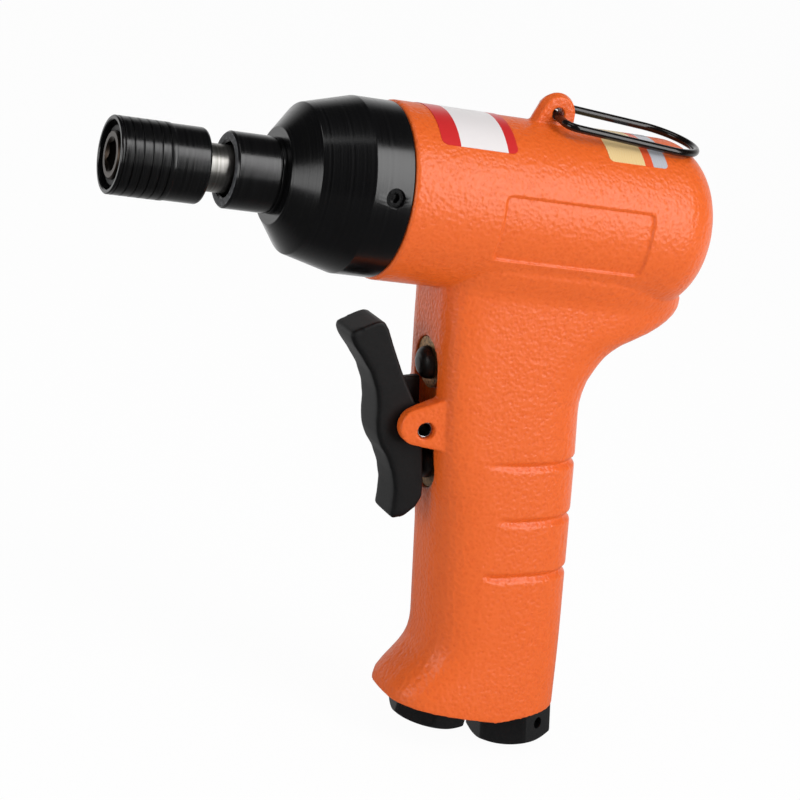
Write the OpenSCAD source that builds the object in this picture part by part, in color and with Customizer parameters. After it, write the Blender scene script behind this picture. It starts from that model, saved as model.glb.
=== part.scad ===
// Air impact screwdriver with a pistol grip, a two-way rocker trigger and a quick-change bit sleeve.
// Millimetres. The spindle runs along X with its bit socket at the origin facing -X; Z is up.
// The handle leans back by grip_lean, and its inner parts are placed along that leaning line.

/* [Bit chuck] */
// across flats of the hex bit socket
bit_flats = 6.45; // [6.35:0.01:6.6]
// depth of the bit socket
socket_depth = 24; // [18:0.5:28]
// diameter of the spindle in front of the hammers
spindle_d = 11; // [10.4:0.1:11.6]
// outside diameter of the sleeve over its ribs
sleeve_d = 17.6; // [17.2:0.1:18.5]
// outside diameter of the smooth rear part of the sleeve
sleeve_tail_d = 17.3; // [16.8:0.1:17.4]
// length of the sleeve
sleeve_length = 21.2; // [20:0.1:22]
// how far the sleeve rim stands in front of the spindle face
sleeve_lead = 0.3; // [0:0.1:0.8]
// length of the ribbed part of the sleeve
rib_zone = 12.8; // [10:0.1:14]
// number of grooves between the ribs
rib_count = 6; // [4:1:8]
// depth of the grooves between the ribs
rib_depth = 0.3; // [0.2:0.05:0.5]
// diameter of the retaining ball
ball_d = 3.2; // [3:0.05:3.3]
// distance of the ball from the spindle face
ball_x = 12; // [11.6:0.1:12.2]
// travel of the sleeve towards the front
sleeve_travel = 3.6; // [3.4:0.1:3.7]
// wire diameter of the sleeve spring
sleeve_wire = 0.8; // [0.6:0.05:0.9]
// thickness of the snap ring
snap_ring_t = 0.9; // [0.7:0.05:1]
// thickness of the stop ring
stop_ring_t = 1; // [0.8:0.05:1.1]
// thickness of the spring washer
washer_t = 0.5; // [0.4:0.05:0.6]

/* [Nose] */
// distance of the collar face behind the spindle face
collar_x = 26.8; // [26:0.1:27.5]
// length of the collar in front of the cone
collar_length = 11.8; // [11:0.1:13]
// outside diameter of the collar
collar_d = 17.6; // [17:0.1:18.4]
// bore of the collar
collar_bore_d = 12.4; // [12.2:0.1:13]
// diameter of the small front face of the cone
cone_face_d = 22.4; // [21:0.1:24]
// length of the steep front cone
cone_steep = 5; // [4:0.1:6]
// radial step from the rear band down to the end of the steep cone
cone_taper = 3.05; // [2.6:0.05:3.6]
// length of the long cone behind it
cone_long = 11.7; // [11:0.1:12.5]
// radial step from the barrel down to the rear band of the nose cone
case_step = 0.4; // [0.2:0.05:0.7]
// length of the rear band
case_band = 9.6; // [9:0.1:10.5]
// diameter of the screw in the rear band
grease_screw_d = 4.6; // [4:0.1:5]
// wall of the long spigot that clamps the motor
spigot_wall = 1.45; // [1.3:0.05:1.6]
// length of the spigot inside the housing
spigot_length = 25.1; // [24.6:0.1:26]

/* [Barrel] */
// outside diameter of the housing barrel
barrel_d = 41.8; // [41.4:0.1:43]
// length of the housing barrel
barrel_length = 82.8; // [81:0.1:86]
// wall of the housing barrel
barrel_wall = 2.45; // [2.2:0.05:2.8]
// thickness of the closed rear end of the barrel
end_wall = 8.7; // [8:0.1:10]
// rounding of the rear end of the barrel
dome_r = 12; // [10:0.5:14]
// depth of the recessed panels on both sides
panel_depth = 0.7; // [0.3:0.1:1]
// height of the recessed panels
panel_height = 15.6; // [12:0.2:16]
// how far the panel centre lies below the barrel axis
panel_drop = 1.7; // [0:0.1:2]
// thickness of the label films
label_t = 0.12; // [0.1:0.01:0.2]

/* [Hanger] */
// height of the hanger hole above the barrel
hanger_rise = 2.55; // [2.3:0.05:3]
// diameter of the hanger hole
hanger_hole_d = 3.2; // [3:0.1:3.3]
// radius of the top of the hanger lug
lug_r = 4.9; // [4.6:0.1:5.2]
// thickness of the hanger lug
lug_t = 4.2; // [3.8:0.1:4.6]
// diameter of the bail wire
bail_wire = 1.9; // [1.7:0.1:2]
// width of the bail between the centres of its legs
bail_width = 19.2; // [18:0.2:19.6]
// length of the bail from the lug to the centre of its round end
bail_length = 28.2; // [27:0.2:30]
// bend radius of the wire beside the lug
bail_bend = 2.6; // [2:0.1:3]
// angle by which the bail slopes down towards the rear at rest
bail_drop = 4.1; // [3:0.1:4.2]
// angle by which the bail leans to one side, as its loose hole allows
bail_roll = 6.8; // [0:0.1:9]
// angle by which the bail is skewed along the barrel, as its loose hole allows
bail_skew = 2; // [0:0.1:2.5]

/* [Handle] */
// angle by which the handle leans back
grip_lean = 11; // [10:0.1:12]
// distance of the leaning handle line behind the front rim of the barrel, at the barrel axis
grip_x = 33; // [32:0.1:34]
// depth of the lowest edge of the handle below the barrel axis
grip_bottom = 125.8; // [124:0.1:128]
// width of the handle
grip_width = 29; // [28:0.1:31]
// distance of the front line of the grip in front of the leaning handle line, at the barrel axis
grip_front = 17.1; // [16:0.1:18]
// distance of the rear line of the grip behind the leaning handle line, at the barrel axis
grip_rear = 21.4; // [20:0.1:22]
// how far the valve boss stands in front of the front line
boss_rise = 1.6; // [1.2:0.1:2]
// reach of the lip at the bottom of the handle towards the front
lip_reach = 10.2; // [9:0.1:12]
// tilt of the front part of the foot, which falls towards the rear
foot_tilt = 4.5; // [3:0.5:6]
// depth of the grip grooves
groove_depth = 1.1; // [0.5:0.1:1.4]
// height of the grip grooves
groove_height = 2.6; // [2:0.1:3]
// distance between the grip grooves
groove_pitch = 14; // [12:0.1:15]
// depth of the first groove below the barrel axis
groove_first = 59.9; // [59:0.1:61]

/* [Trigger and valves] */
// depth of the trigger pin along the leaning handle line
pivot_depth = 50.5; // [50:0.1:51]
// distance of the trigger pin in front of the leaning handle line
pivot_out = 23; // [22.8:0.1:23.2]
// outside diameter of the hollow trigger pin
pin_d = 4.2; // [4:0.1:4.4]
// wall of the hollow trigger pin
pin_wall = 0.55; // [0.4:0.05:0.7]
// width of the trigger
trigger_width = 11.4; // [11:0.1:11.6]
// radius of the round nose of the ears
ear_r = 4.6; // [4.4:0.1:5]
// thickness of each ear
ear_t = 2.9; // [2.6:0.1:3.2]
// gap between an ear and the trigger
ear_gap = 0.7; // [0.6:0.05:0.9]
// half of the distance between the two valves
valve_offset = 12.5; // [12.3:0.1:12.7]
// how far the middle between the valves lies above the trigger pin
valve_rise = 1.1; // [0.8:0.1:1.3]
// diameter of the valve plungers
plunger_d = 8; // [7.8:0.1:8.2]
// outside diameter of the valve bushings
valve_bushing_d = 12.4; // [12:0.1:12.6]
// travel of a plunger at the end of the trigger swing
plunger_travel = 1.15; // [1:0.05:1.2]
// wire diameter of the valve springs
valve_wire = 0.7; // [0.5:0.05:0.8]

/* [Fittings] */
// across flats of the exhaust hex
fitting_flats = 19; // [18.6:0.1:19.2]
// across flats of the inlet hex
inlet_flats = 18; // [17.6:0.1:18.4]
// visible height of the inlet hex
inlet_hex = 4.6; // [4:0.1:5]
// height of the exhaust hex
exhaust_hex = 8.9; // [8.4:0.1:9.2]
// diameter of the inlet thread in the housing
inlet_thread_d = 16.6; // [16:0.1:17]
// minor diameter of the female hose thread
hose_thread_d = 11.45; // [11.4:0.05:11.9]
// depth of the female hose thread
hose_thread_depth = 12; // [11:0.1:12.2]
// diameter of the exhaust thread in the housing
exhaust_thread_d = 14; // [13.5:0.1:14.5]
// thickness of the seal washers
seal_t = 0.8; // [0.6:0.05:1]
// diameter of the side hole in the exhaust fitting
side_hole_d = 2.6; // [2:0.1:3]
// angle at which the inlet hex is tightened
inlet_turn = 16; // [0:1:60]
// angle at which the exhaust hex is tightened
exhaust_turn = 27; // [0:1:60]

/* [Motor and hammers] */
// thinnest wall of the motor cylinder
cylinder_wall = 2.05; // [1.8:0.05:2.4]
// height of the cylinder bore above the rotor axis
cylinder_shift = 1.4; // [1.2:0.05:1.6]
// thickness of the gasket behind the motor
gasket_t = 1; // [0.8:0.1:1.2]
// outside diameter of the front ball bearing
front_bearing_d = 22; // [21:0.5:24]
// outside diameter of the rear ball bearing
rear_bearing_d = 19; // [18:0.5:20]
// thickness of the front end plate
front_plate_t = 8.5; // [8.2:0.1:9]
// thickness of the rear end plate
rear_plate_t = 7.5; // [7.2:0.1:8]
// number of vanes
vane_count = 5; // [4:1:6]
// thickness of a vane
vane_t = 2; // [1.6:0.1:2.4]
// radial gap between the hammer cage and the nose
cage_gap = 0.4; // [0.3:0.05:0.6]
// wall of the hammer cage
cage_wall = 3; // [2.8:0.1:3.4]
// angle of the front hammer on the cage
hammer_turn = 20; // [0:5:40]
// length of one hammer
hammer_length = 10; // [9.6:0.1:10.2]

/* [Fits] */
// radial clearance of running fits
run_gap = 0.05; // [0.02:0.01:0.08]
// amount by which cutting shapes pass through a face
overrun = 0.5; // [0.2:0.1:1]

/* [Hidden] */
$fn = 64;
spindle_r = spindle_d / 2;
sleeve_r = sleeve_d / 2;
tail_r = sleeve_tail_d / 2;
ball_r = ball_d / 2;
// the sleeve locks the ball under a land and frees it over a pocket behind the land
land_r = spindle_r + run_gap;
chamber_r = sleeve_r - rib_depth - sleeve_wire;
land_front = ball_x - ball_d - run_gap * 4;
land_rear = ball_x + ball_r + run_gap * 4;
pocket_r = bit_flats / 2 + ball_d + run_gap * 2;
pocket_rear = land_rear + ball_d + sleeve_wire;
mouth_r = tail_r - spindle_r * 0.2;
snap_x = sleeve_wire;
washer_x = snap_x + snap_ring_t;
spring_x = washer_x + washer_t;
stop_x = pocket_rear + run_gap;
ring_seat_r = spindle_r - washer_t;
rib_pitch = rib_zone / rib_count;
ball_lift = land_r - ball_r - run_gap / 2;

collar_r = collar_d / 2;
collar_bore_r = collar_bore_d / 2;
cone_x = collar_x + collar_length;
cone_break_x = cone_x + cone_steep;
band_x = cone_break_x + cone_long;
rim_x = band_x + case_band;
barrel_r = barrel_d / 2;
case_r = barrel_r - case_step;
bore_r = barrel_r - barrel_wall;
cavity_r = bore_r - spigot_wall;
cage_r = cavity_r - cage_gap;
chamber_d = 2 * (cage_r - cage_wall);
spigot_end = rim_x + spigot_length;
bushing_r = collar_r - sleeve_wire;
cavity_x = rim_x - case_band * 0.77;
bushing_x = cone_x + washer_t * 5;
thrust_x = cavity_x;
spindle_tail_r = spindle_r + snap_ring_t;

barrel_end = rim_x + barrel_length;
bore_end = barrel_end - end_wall;
hole_x = rim_x + barrel_length * 0.491;
rear_span = barrel_end - hole_x;
hanger_z = barrel_r + hanger_rise;
panel_x = rim_x + barrel_length * 0.2778;
panel_length = barrel_length * 0.4716;

plate_x = spigot_end;
cylinder_x = plate_x + front_plate_t;
gasket_x = bore_end - gasket_t;
rear_plate_x = gasket_x - rear_plate_t;
cylinder_length = rear_plate_x - cylinder_x;
rotor_gap = run_gap * 2;
cylinder_bore_r = bore_r - cylinder_wall - cylinder_shift;
rotor_r = cylinder_bore_r - cylinder_shift - rotor_gap;
front_bearing_r = front_bearing_d / 2;
front_bearing_w = front_plate_t - rear_plate_t * 0.2;
rear_bearing_r = rear_bearing_d / 2;
rear_bearing_w = rear_plate_t - rear_plate_t * 0.2;
front_shaft_r = plunger_d / 2;
rear_shaft_r = front_shaft_r * 0.75;

cage_x = thrust_x + seal_t + run_gap * 4;
cage_front_t = hammer_length * 0.25;
hammer_gap = run_gap * 4;
chamber_x = cage_x + cage_front_t;
chamber_length = 2 * hammer_length + 3 * hammer_gap;
cage_end = chamber_x + chamber_length + hammer_length * 0.4;

// the leaning line of the handle and the places on it
line_x = rim_x + grip_x;
front_slope = tan(grip_lean - 1.2);
rear_slope = tan(grip_lean - 2.6);
half_grip = grip_width / 2;
pivot_x = -pivot_out;
pivot_z = -pivot_depth;
slot_floor = pivot_x + pivot_out * 0.26;
ear_in = trigger_width / 2 + ear_gap;
slot_r = ear_in;
plunger_r = plunger_d / 2;
plunger_face = pivot_x + seal_t * 1.9;
plunger_end = plunger_face + plunger_r * 3.9;
valve_bushing_r = valve_bushing_d / 2;
valve_face = plunger_face + seal_t * 3.6;
upper_z = pivot_z + valve_rise + valve_offset;
lower_z = pivot_z + valve_rise - valve_offset;
valve_bushing_end = slot_floor + valve_bushing_d;
spring_floor = valve_bushing_end + plunger_r;
exhaust_x = half_grip * 0.42;
passage_x = -half_grip * 0.72;
exhaust_floor = -grip_bottom * 1.012;
// the two flat parts of the foot meet at a ridge across the handle
ridge_on_line = -half_grip * 0.29;
ridge_x = line_x + ridge_on_line * cos(grip_lean) - exhaust_floor * sin(grip_lean);
ridge_z = ridge_on_line * sin(grip_lean) + exhaust_floor * cos(grip_lean);
inlet_x = -half_grip * 0.8;
inlet_r = inlet_thread_d / 2;
exhaust_r = exhaust_thread_d / 2;
inlet_thread = inlet_thread_d * 0.52;
exhaust_thread = exhaust_thread_d * 0.64;
fitting_r = fitting_flats / sqrt(3);
port_r = plunger_r * 0.45;

// a round bar along X from one station to another
module bar(from, to, r) {
    translate([from, 0, 0])
        rotate([0, 90, 0])
            cylinder(h = to - from, r = r);
}

// a tube along X
module tube(from, to, outer, inner) {
    difference() {
        bar(from, to, outer);
        bar(from - overrun, to + overrun, inner);
    }
}

// a turned shape: points are [radius, station along X]
module turned(points) {
    rotate([0, 90, 0])
        rotate_extrude()
            polygon(points);
}

// children placed on the leaning line of the handle
module on_grip() {
    translate([line_x, 0, 0])
        rotate([0, -grip_lean, 0])
            children();
}

// a round bar across the handle line at a height
module cross_bar(from, to, r, z) {
    translate([0, 0, z])
        bar(from, to, r);
}

// a round bar down the handle line
module down_bar(x, from, to, r) {
    translate([x, 0, to])
        cylinder(h = from - to, r = r);
}

// a hexagonal bar down the handle line with turned lower corners
module hex_bar(x, from, to, turn, flats) {
    intersection() {
        translate([x, 0, to])
            rotate([0, 0, turn])
                cylinder(h = from - to, r = flats / sqrt(3), $fn = 6);
        translate([x, 0, to])
            cylinder(h = from - to, r1 = flats * 0.49, r2 = flats * 0.49 + (from - to) * 1.7);
        translate([x, 0, to])
            cylinder(h = from - to, r = flats * 0.56);
    }
}

// a wound spring standing on Z from 0
module coil(mean_r, wire_r, length, turns) {
    sides = 6;
    steps = 12;
    total = turns * steps;
    rise = length - 2 * wire_r;
    points = [for (i = [0:total]) for (k = [0:sides - 1])
        let (a = 360 * i / steps, b = 360 * k / sides, r = mean_r + wire_r * cos(b))
        [r * cos(a), r * sin(a), wire_r + rise * i / total + wire_r * sin(b)]];
    walls = [for (i = [0:total - 1]) for (k = [0:sides - 1])
        let (n = (k + 1) % sides, p = i * sides, q = p + sides)
        each [[p + k, q + k, q + n], [p + k, q + n, p + n]]];
    first = [for (k = [0:sides - 1]) k];
    last = [for (k = [0:sides - 1]) total * sides + sides - 1 - k];
    polyhedron(points = points, faces = concat([first], walls, [last]));
}

// 0 to 1 with soft ends
function soft(s) = let (t = min(1, max(0, s))) t * t * (3 - 2 * t);

// children placed on the front part of the foot, with its ridge at the origin
module on_foot() {
    translate([ridge_x, 0, ridge_z])
        rotate([0, foot_tilt, 0])
            children();
}

// rows of levels from one depth towards another
function rows(from, to, count) = [for (i = [0:count - 1]) [from + (to - from) * i / count, 0]];

// the three rows of one grip groove: [depth, inset]
function groove(depth) = [[depth - groove_height / 2, 0], [depth, groove_depth], [depth + groove_height / 2, 0]];

// how far the heel under the barrel reaches back, from the place where it leaves the barrel
heel_top = barrel_r * 0.86;
heel_height = barrel_r * 1.29;
heel_shares = [[-0.36, 0.7], [-0.1, 1], [0, 1], [0.08, 0.96], [0.16, 0.87], [0.23, 0.77], [0.3, 0.64], [0.37, 0.47],
               [0.44, 0.35], [0.52, 0.25], [0.6, 0.18], [0.67, 0.13], [0.74, 0.08], [0.82, 0.045], [0.9, 0.02], [1, 0]];

// outline of the handle at a depth: front edge, rear edge and half width
function web_share(d) = soft((barrel_r * 0.96 - d) / (barrel_r * 0.4));
function boss_share(d) = 1 - soft((d - barrel_r * 2.4) / (barrel_r * 1.44));
function lip_share(d) = soft(pow(min(1, max(0, (d - grip_bottom * 0.809) / (grip_bottom * 0.1705))), 1.55));
function heel_share(d) = lookup((d - heel_top) / heel_height, heel_shares);
function front_at(d) = line_x - grip_front + d * front_slope - boss_rise * boss_share(d) - lip_reach * lip_share(d);
function rear_at(d) = line_x + grip_rear + d * rear_slope + (barrel_end - line_x - grip_rear) * 0.9 * heel_share(d);
function half_at(d) = half_grip + half_grip * 0.2 * web_share(d) + half_grip * 0.04 * lip_share(d);
function tilt_at(d) = tan(grip_lean * 0.55) * soft((d - barrel_d) / barrel_r) * soft((grip_bottom - d) / (barrel_r * 1.2));

grip_sides = 40;
groove_last = groove_first + 2 * groove_pitch;
grip_levels = concat(
    rows(barrel_r * 0.4, barrel_r * 0.86, 4),
    rows(barrel_r * 0.86, barrel_r * 1.7, 10),
    rows(barrel_r * 1.7, groove_first - groove_height / 2, 8),
    groove(groove_first),
    rows(groove_first + groove_pitch * 0.35, groove_first + groove_pitch - groove_height / 2, 2),
    groove(groove_first + groove_pitch),
    rows(groove_first + groove_pitch * 1.35, groove_last - groove_height / 2, 2),
    groove(groove_last),
    rows(groove_last + groove_pitch * 0.3, grip_bottom * 0.809, 3),
    rows(grip_bottom * 0.809, grip_bottom * 0.98, 9),
    [[grip_bottom * 0.98, 0], [grip_bottom * 1.02, 0]]);

// one point of the handle skin; grooves are cut only behind groove_start
groove_start = half_grip * 0.36;
function skin_point(level, k) =
    let (d = level[0],
         mid = (front_at(d) + rear_at(d)) / 2,
         a = (rear_at(d) - front_at(d)) / 2,
         b = half_at(d),
         angle = 360 * k / grip_sides,
         square = (cos(angle) < 0) ? 0.68 - 0.3 * boss_share(d) : 0.68,
         cx = sign(cos(angle)) * pow(abs(cos(angle)), square),
         sy = sign(sin(angle)) * pow(abs(sin(angle)), square),
         cut = (a * cx > -groove_start) ? level[1] : 0,
         dx = (a - cut) * cx)
    [mid + dx, (b - cut) * sy, -d + dx * tilt_at(d)];

module grip_skin() {
    last = len(grip_levels) - 1;
    points = [for (level = grip_levels) for (k = [0:grip_sides - 1]) skin_point(level, k)];
    walls = [for (i = [0:last - 1]) for (k = [0:grip_sides - 1])
        let (n = (k + 1) % grip_sides, p = i * grip_sides, q = p + grip_sides)
        each [[p + k, q + n, q + k], [p + k, p + n, q + n]]];
    top = [for (k = [0:grip_sides - 1]) grip_sides - 1 - k];
    foot = [for (k = [0:grip_sides - 1]) last * grip_sides + k];
    polyhedron(points = points, faces = concat([top], walls, [foot]));
}

// everything below the two flat parts of the foot
module foot_cut() {
    on_foot()
        translate([-grip_width * 2, -grip_width, -grip_width])
            cube([grip_width * 4, grip_width * 2, grip_width]);
    on_grip()
        translate([-grip_width * 2, -grip_width, exhaust_floor - grip_width])
            cube([grip_width * 4, grip_width * 2, grip_width]);
}

// the barrel as a turned shape with a rounded rear end
module barrel_skin() {
    chamfer = label_t * 5;
    arc = [for (i = [0:12]) [barrel_r - dome_r + dome_r * cos(90 * i / 12), barrel_end - dome_r + dome_r * sin(90 * i / 12)]];
    turned(concat([[0, rim_x], [barrel_r - chamfer, rim_x], [barrel_r, rim_x + chamfer]], arc, [[0, barrel_end]]));
}

// the lug over the barrel with a sloping front side; it tapers towards both faces
module lug() {
    for (side = [-1, 1])
        translate([hole_x, 0, hanger_z])
            rotate([side * 90, 0, 0])
                linear_extrude(height = lug_t / 2, scale = 0.84)
                    scale([1, side > 0 ? 1 : -1])
                        lug_outline();
}

module lug_outline() {
    base = barrel_r * 0.9 - hanger_z;
    hull() {
        translate([run_gap * 4, 0])
            circle(r = lug_r);
        translate([-lug_r * 1.28, base])
            circle(r = label_t * 5);
        translate([lug_r * 0.94, base])
            circle(r = label_t * 5);
    }
}

// one ear beside the trigger, drawn on the handle line; it grows thicker towards the handle
module ear(side) {
    translate([pivot_x, side * ear_in, pivot_z])
        rotate([side * -90, 0, 0])
            hull() {
                translate([-ear_r * 0.33, side * -ear_r * 0.19, 0])
                    cylinder(h = ear_t, r = ear_r);
                for (corner = [1.72, -1.32])
                    translate([ear_r * 2.05, side * -ear_r * corner, 0])
                        cylinder(h = ear_t * 1.9, r = seal_t);
            }
}

// a rounded panel recess that follows the barrel, on one side
module panel_cut(side) {
    corner = panel_height * 0.1;
    intersection() {
        tube(rim_x + overrun, barrel_end - dome_r, barrel_r + overrun, barrel_r - panel_depth);
        translate([panel_x, side > 0 ? barrel_d : 0, -panel_drop])
            rotate([90, 0, 0])
                linear_extrude(height = barrel_d)
                    hull() {
                        translate([corner, panel_height / 2 - corner])
                            circle(r = corner);
                        translate([corner, corner - panel_height / 2])
                            circle(r = corner);
                        translate([panel_length - corner, panel_height / 2 - corner])
                            circle(r = corner);
                        translate([panel_length - corner, corner - panel_height / 2])
                            circle(r = corner);
                    }
    }
}

// everything that is bored or cut into the handle, on the handle line
module grip_cuts() {
    hull() {
        cross_bar(pivot_x, slot_floor, slot_r, upper_z);
        cross_bar(pivot_x, slot_floor, slot_r, lower_z);
    }
    for (z = [upper_z, lower_z]) {
        cross_bar(slot_floor - overrun, valve_bushing_end, valve_bushing_r, z);
        cross_bar(valve_bushing_end - overrun, spring_floor, plunger_r + run_gap * 4, z);
    }
    translate([pivot_x, half_grip, pivot_z])
        rotate([90, 0, 0])
            cylinder(h = grip_width, r = pin_d / 2);
    down_bar(passage_x, pivot_z + valve_offset * 1.4, exhaust_floor + inlet_thread + seal_t, plunger_r);
    down_bar(exhaust_x, -bore_r * 0.7, exhaust_floor, plunger_r * 1.5);
    down_bar(exhaust_x, exhaust_floor + exhaust_thread, exhaust_floor - overrun, exhaust_r);
    translate([0, plunger_r, 0])
        down_bar(-half_grip * 0.48, -bore_r * 0.8, pivot_z + valve_offset, port_r);
    translate([0, -plunger_r * 2.3, 0])
        down_bar(-half_grip * 0.48, -bore_r * 0.7, pivot_z - valve_offset, port_r);
    translate([-half_grip * 0.48, -plunger_r * 0.9, lower_z])
        rotate([90, 0, 0])
            cylinder(h = plunger_r * 1.4, r = port_r);
}

module housing() {
    color([0.93, 0.38, 0.1])
        difference() {
            union() {
                barrel_skin();
                grip_skin();
                lug();
                on_grip() {
                    ear(1);
                    ear(-1);
                }
            }
            bar(rim_x - overrun, bore_end, bore_r);
            panel_cut(1);
            panel_cut(-1);
            translate([hole_x, lug_t, hanger_z])
                rotate([90, 0, 0])
                    cylinder(h = lug_t * 2, r = hanger_hole_d / 2);
            on_grip()
                grip_cuts();
            on_foot()
                down_bar(inlet_x, inlet_thread + seal_t * 1.4, -overrun, inlet_r);
            foot_cut();
        }
}

module nose_cone() {
    lip = label_t * 3;
    color([0.09, 0.09, 0.1])
        difference() {
            turned([[bushing_r, cone_x], [cone_face_d / 2, cone_x], [case_r - cone_taper, cone_break_x],
                    [case_r, band_x], [case_r, rim_x - lip], [case_r - lip, rim_x], [bore_r, rim_x],
                    [bore_r, spigot_end], [cavity_r, spigot_end], [cavity_r, cavity_x], [bushing_r, cavity_x]]);
            grease_cut();
        }
}

// the screw hole through the rear band
module grease_cut() {
    translate([rim_x - case_band * 0.46, 0, case_r * 0.1])
        rotate([90, 0, 0])
            cylinder(h = case_r * 2, r = grease_screw_d / 2);
}

module grease_screw() {
    head = case_r * 0.985 - cavity_r;
    color([0.75, 0.76, 0.78])
        translate([rim_x - case_band * 0.46, -cavity_r - head * 0.1, case_r * 0.1])
            rotate([90, 0, 0])
                difference() {
                    cylinder(h = head * 0.7, r = grease_screw_d / 2);
                    translate([0, 0, head * 0.35])
                        cylinder(h = head, r = grease_screw_d * 0.28, $fn = 6);
                }
}

module nose_collar() {
    lip = label_t * 4;
    ring_x = cone_x - washer_t * 3;
    color([0.1, 0.1, 0.11])
        turned([[collar_bore_r, collar_x + lip], [collar_bore_r + lip, collar_x], [collar_r - lip, collar_x],
                [collar_r, collar_x + lip], [collar_r, ring_x], [collar_r - lip, ring_x], [collar_r - lip, ring_x + lip],
                [collar_r, ring_x + lip], [collar_r, cone_x], [bushing_r, cone_x], [bushing_r, bushing_x],
                [collar_bore_r, bushing_x], [collar_bore_r, cone_x - washer_t],
                [collar_bore_r + seal_t, cone_x - washer_t], [collar_bore_r + seal_t, cone_x - washer_t * 5],
                [collar_bore_r, cone_x - washer_t * 5]]);
}

module collar_seal() {
    color([0.12, 0.12, 0.12])
        tube(cone_x - washer_t * 5, cone_x - washer_t, collar_bore_r + seal_t, land_r);
}

module spindle_bushing() {
    color([0.72, 0.5, 0.28])
        tube(bushing_x, thrust_x - run_gap, bushing_r, land_r);
}

// part of a film on the barrel between two stations, out to an angle on both sides of the top
module film(from, to, angle) {
    rotate([0, 90, 0])
        rotate([0, 0, 180 - angle])
            translate([0, 0, from])
                rotate_extrude(angle = 2 * angle)
                    translate([barrel_r, 0])
                        square([label_t, to - from]);
}

module front_label() {
    color([0.93, 0.93, 0.92])
        film(rim_x + barrel_length * 0.0805, rim_x + barrel_length * 0.3152, 45);
}

module rear_label() {
    color([0.9, 0.82, 0.6])
        film(hole_x + rear_span * 0.235, hole_x + rear_span * 0.608, 40);
}

module hanger_bail() {
    leg = bail_width / 2;
    wire = bail_wire / 2;
    color([0.07, 0.07, 0.07])
        translate([hole_x - run_gap * 2, 0, hanger_z - run_gap * 5])
            rotate([bail_roll, bail_drop, -bail_skew]) {
                translate([0, leg - bail_bend, 0])
                    rotate([90, 0, 0])
                        cylinder(h = 2 * (leg - bail_bend), r = wire);
                for (side = [-1, 1]) {
                    translate([bail_bend, side * (leg - bail_bend), 0])
                        rotate([0, 0, side > 0 ? 90 : 180])
                            rotate_extrude(angle = 90)
                                translate([bail_bend, 0])
                                    circle(r = wire);
                    translate([0, side * leg, 0])
                        bar(bail_bend, bail_length, wire);
                }
                translate([bail_length, 0, 0])
                    rotate([0, 0, -90])
                        rotate_extrude(angle = 180)
                            translate([leg, 0])
                                circle(r = wire);
            }
}

module trigger_pin() {
    half = ear_in + ear_t - seal_t * 0.25;
    color([0.7, 0.71, 0.73])
        on_grip()
            translate([pivot_x, half, pivot_z])
                rotate([90, 0, 0])
                    difference() {
                        cylinder(h = 2 * half, r = pin_d / 2);
                        translate([0, 0, -overrun])
                            cylinder(h = 2 * half + 2 * overrun, r = pin_d / 2 - pin_wall);
                    }
}

// front outline of the trigger, with rounded lower corners
module trigger_front() {
    corner = trigger_width * 0.15;
    hull()
        for (side = [-1, 1]) {
            translate([side * (trigger_width / 2 - corner), corner - valve_offset * 1.88])
                circle(r = corner);
            translate([side * (trigger_width / 2 - corner), valve_offset * 2.3])
                square(2 * corner, center = true);
        }
}

// side outline of the trigger round its pin, in shares of half the valve distance
trigger_shares = [[-1.41, 1.86], [-1.345, 1.7], [-1.185, 1.46], [-0.99, 1.12], [-0.875, 0.76], [-0.845, 0.44],
                  [-0.865, 0.14], [-0.845, -0.12], [-0.765, -0.36], [-0.635, -0.58], [-0.52, -0.92], [-0.47, -1.26],
                  [-0.5, -1.6], [-0.54, -1.79], [-0.47, -1.87], [-0.27, -1.82], [-0.02, -1.65], [0.1, -1.46],
                  [0.12, -1.16], [0.1, -0.71], [0.09, -0.26], [-0.03, 0.34], [-0.15, 0.59], [-0.37, 1.12],
                  [-0.55, 1.64], [-0.65, 1.96], [-0.73, 2.1], [-0.83, 2.13], [-0.94, 2.11], [-1.39, 1.97]];

module trigger_profile() {
    polygon([for (p = trigger_shares) [p[0] * valve_offset, p[1] * valve_offset]]);
}

module trigger() {
    hub_r = pin_d / 2 + plunger_r * 0.55;
    wall = trigger_width * 0.13;
    cam_width = trigger_width * 0.2;
    cam_low = valve_offset * 0.66;
    cam_high = valve_offset * 0.865;
    cam_face = plunger_face - pivot_x + run_gap * 8;
    color([0.08, 0.08, 0.085])
        on_grip()
            translate([pivot_x, 0, pivot_z])
                difference() {
                    union() {
                        difference() {
                            intersection() {
                                translate([0, trigger_width / 2, 0])
                                    rotate([90, 0, 0])
                                        linear_extrude(height = trigger_width)
                                            trigger_profile();
                                translate([-valve_offset * 2, 0, 0])
                                    rotate([90, 0, 90])
                                        linear_extrude(height = valve_offset * 4)
                                            trigger_front();
                            }
                            // the hollow back of the lever leaves a face plate and two side walls
                            translate([plunger_r, trigger_width / 2 - wall, 0])
                                rotate([90, 0, 0])
                                    linear_extrude(height = trigger_width - 2 * wall)
                                        trigger_profile();
                        }
                        translate([0, trigger_width / 2, 0])
                            rotate([90, 0, 0])
                                cylinder(h = trigger_width, r = hub_r);
                        // the cam that meets both plungers
                        translate([-valve_offset * 0.55, -cam_width / 2, -cam_low])
                            cube([valve_offset * 0.55 + cam_face, cam_width, cam_low + cam_high]);
                    }
                    translate([0, trigger_width, 0])
                        rotate([90, 0, 0])
                            cylinder(h = 2 * trigger_width, r = pin_d / 2 + run_gap);
                }
}

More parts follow.
